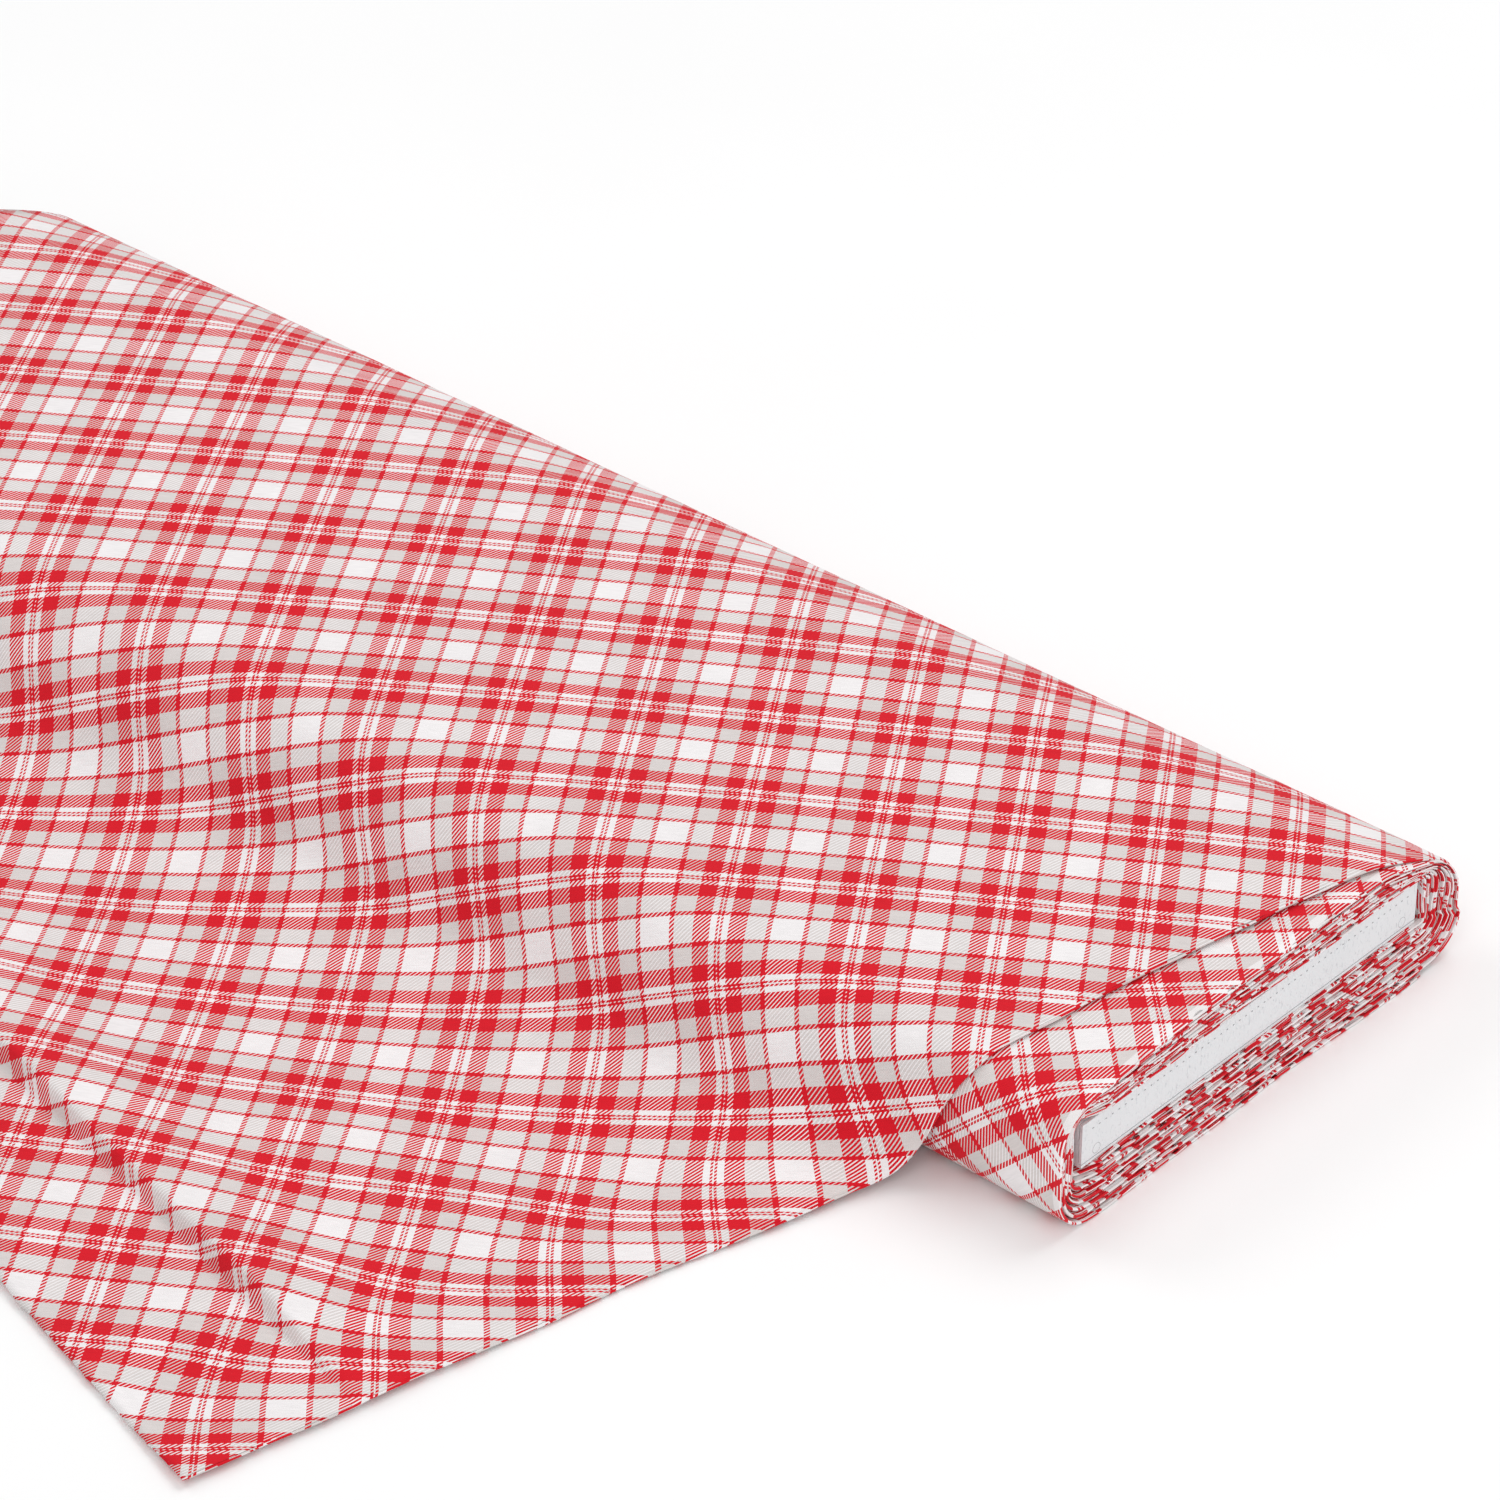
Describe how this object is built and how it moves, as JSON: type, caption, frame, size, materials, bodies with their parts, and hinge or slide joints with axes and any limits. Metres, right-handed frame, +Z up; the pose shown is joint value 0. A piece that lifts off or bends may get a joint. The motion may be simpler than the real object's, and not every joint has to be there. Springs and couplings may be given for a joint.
{
  "type": "fabric bolt",
  "caption": "Flat card board wound with folded cloth, the loose end drawn across the top and out onto the table, with tuck-in flaps at the board's ends.",
  "frame": {"origin": "centre of the wound bolt's footprint on the table, midway along the board and midway between its long edges", "axes": "+X along the board towards its right end, +Y towards the back edge that the loose cloth comes over, +Z up; the loose end runs out towards -Y"},
  "size_m": [0.8534, 0.5294, 0.0589],
  "materials": {
    "white_card": "white-lined card, matt",
    "inner_card": "grey recycled card, matt",
    "plaid_cotton": "printed cotton twill, matt"
  },
  "bodies": {
    "cloth": {"wound_cloth": "plaid_cotton", "free_end": "plaid_cotton"},
    "board": {"board_wrap": "white_card", "front_stiffener": "inner_card", "back_stiffener": "inner_card"},
    "right_flap": {"right_end_flap": "white_card"},
    "right_tongue": {"right_tuck_tongue": "white_card"},
    "left_flap": {"left_end_flap": "white_card"},
    "left_tongue": {"left_tuck_tongue": "white_card"}
  },
  "joints": [
    {"name": "board_draw", "type": "slide", "parent": "cloth", "child": "board", "axis": [1, 0, 0], "range_m": [0, 0.7]},
    {"name": "right_flap_crease", "type": "hinge", "parent": "board", "child": "right_flap", "pos_m": [0.371, 0, 0.0384], "axis": [0, -1, 0], "range_deg": [0, 90]},
    {"name": "right_tongue_crease", "type": "hinge", "parent": "right_flap", "child": "right_tongue", "pos_m": [0.3695, 0, 0.0223], "axis": [0, -1, 0], "range_deg": [-90, 0]},
    {"name": "left_flap_crease", "type": "hinge", "parent": "board", "child": "left_flap", "pos_m": [-0.371, 0, 0.0384], "axis": [0, 1, 0], "range_deg": [0, 90]},
    {"name": "left_tongue_crease", "type": "hinge", "parent": "left_flap", "child": "left_tongue", "pos_m": [-0.3695, 0, 0.0223], "axis": [0, 1, 0], "range_deg": [-90, 0]}
  ],
  "couplings": [
    {"joint": "right_tongue_crease", "follows": "right_flap_crease", "ratio": -1},
    {"joint": "left_tongue_crease", "follows": "left_flap_crease", "ratio": -1}
  ]
}
